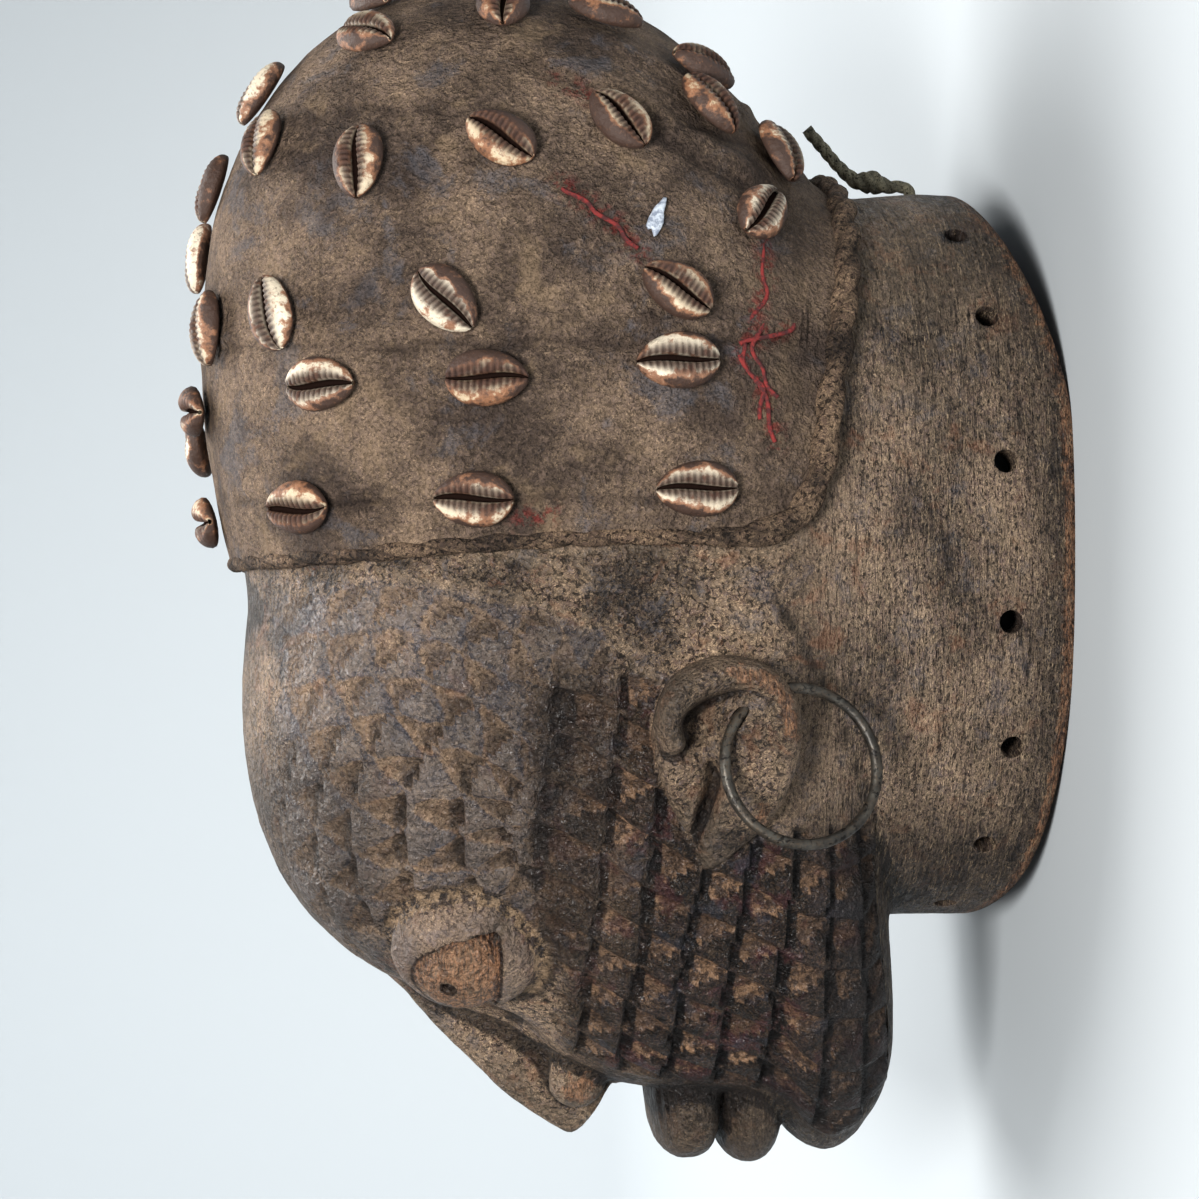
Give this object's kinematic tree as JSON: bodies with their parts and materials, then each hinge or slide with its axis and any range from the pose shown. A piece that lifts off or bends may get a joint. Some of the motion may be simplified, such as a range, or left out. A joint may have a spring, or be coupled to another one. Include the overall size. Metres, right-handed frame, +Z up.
{
  "type": "gelede helmet mask",
  "caption": "Carved wooden helmet mask of a scarified face with bulging eyes, wire earrings and a stiff cloth cap sewn with cowrie shells; open below, stands on its neck rim.",
  "frame": {"origin": "on the floor under the middle of the mask's overall box, which is inside the neck opening", "axes": "+Z up from the rim to the crown, +Y from the face to the back of the head (the longest way), +X to the mask's own left ear"},
  "size_m": [0.222, 0.3405, 0.2397],
  "materials": {
    "carved_wood": "dark crusted patina, worn to orange-brown on the high places",
    "cap_cloth": "stiff, soiled cloth with dark stains",
    "edge_cord": "twisted cord, crusted with dirt",
    "ring_wire": "dull dark iron wire",
    "tie_fibre": "grey-green plant fibre",
    "shell": "glossy ivory with brown stains"
  },
  "bodies": {
    "root": {"mask": "carved_wood", "cap": "cap_cloth", "cap_edge_cord": "edge_cord", "earring_left": "ring_wire", "earring_right": "ring_wire", "tie_cord": "tie_fibre", "cowrie_01": "shell", "cowrie_02": "shell", "cowrie_03": "shell", "cowrie_04": "shell", "cowrie_05": "shell", "cowrie_06": "shell", "cowrie_07": "shell", "cowrie_08": "shell", "cowrie_09": "shell", "cowrie_10": "shell", "cowrie_11": "shell", "cowrie_12": "shell", "cowrie_13": "shell", "cowrie_14": "shell", "cowrie_15": "shell", "cowrie_16": "shell", "cowrie_17": "shell", "cowrie_18": "shell", "cowrie_19": "shell", "cowrie_20": "shell", "cowrie_21": "shell", "cowrie_22": "shell", "cowrie_23": "shell", "cowrie_24": "shell", "cowrie_25": "shell", "cowrie_26": "shell", "cowrie_27": "shell", "cowrie_28": "shell", "cowrie_29": "shell", "cowrie_30": "shell", "cowrie_31": "shell", "cowrie_32": "shell", "cowrie_33": "shell", "cowrie_34": "shell", "cowrie_35": "shell", "cowrie_36": "shell", "cowrie_37": "shell", "cowrie_38": "shell", "cowrie_39": "shell", "cowrie_40": "shell", "cowrie_41": "shell", "cowrie_42": "shell", "cowrie_43": "shell", "cowrie_44": "shell"}
  },
  "joints": []
}
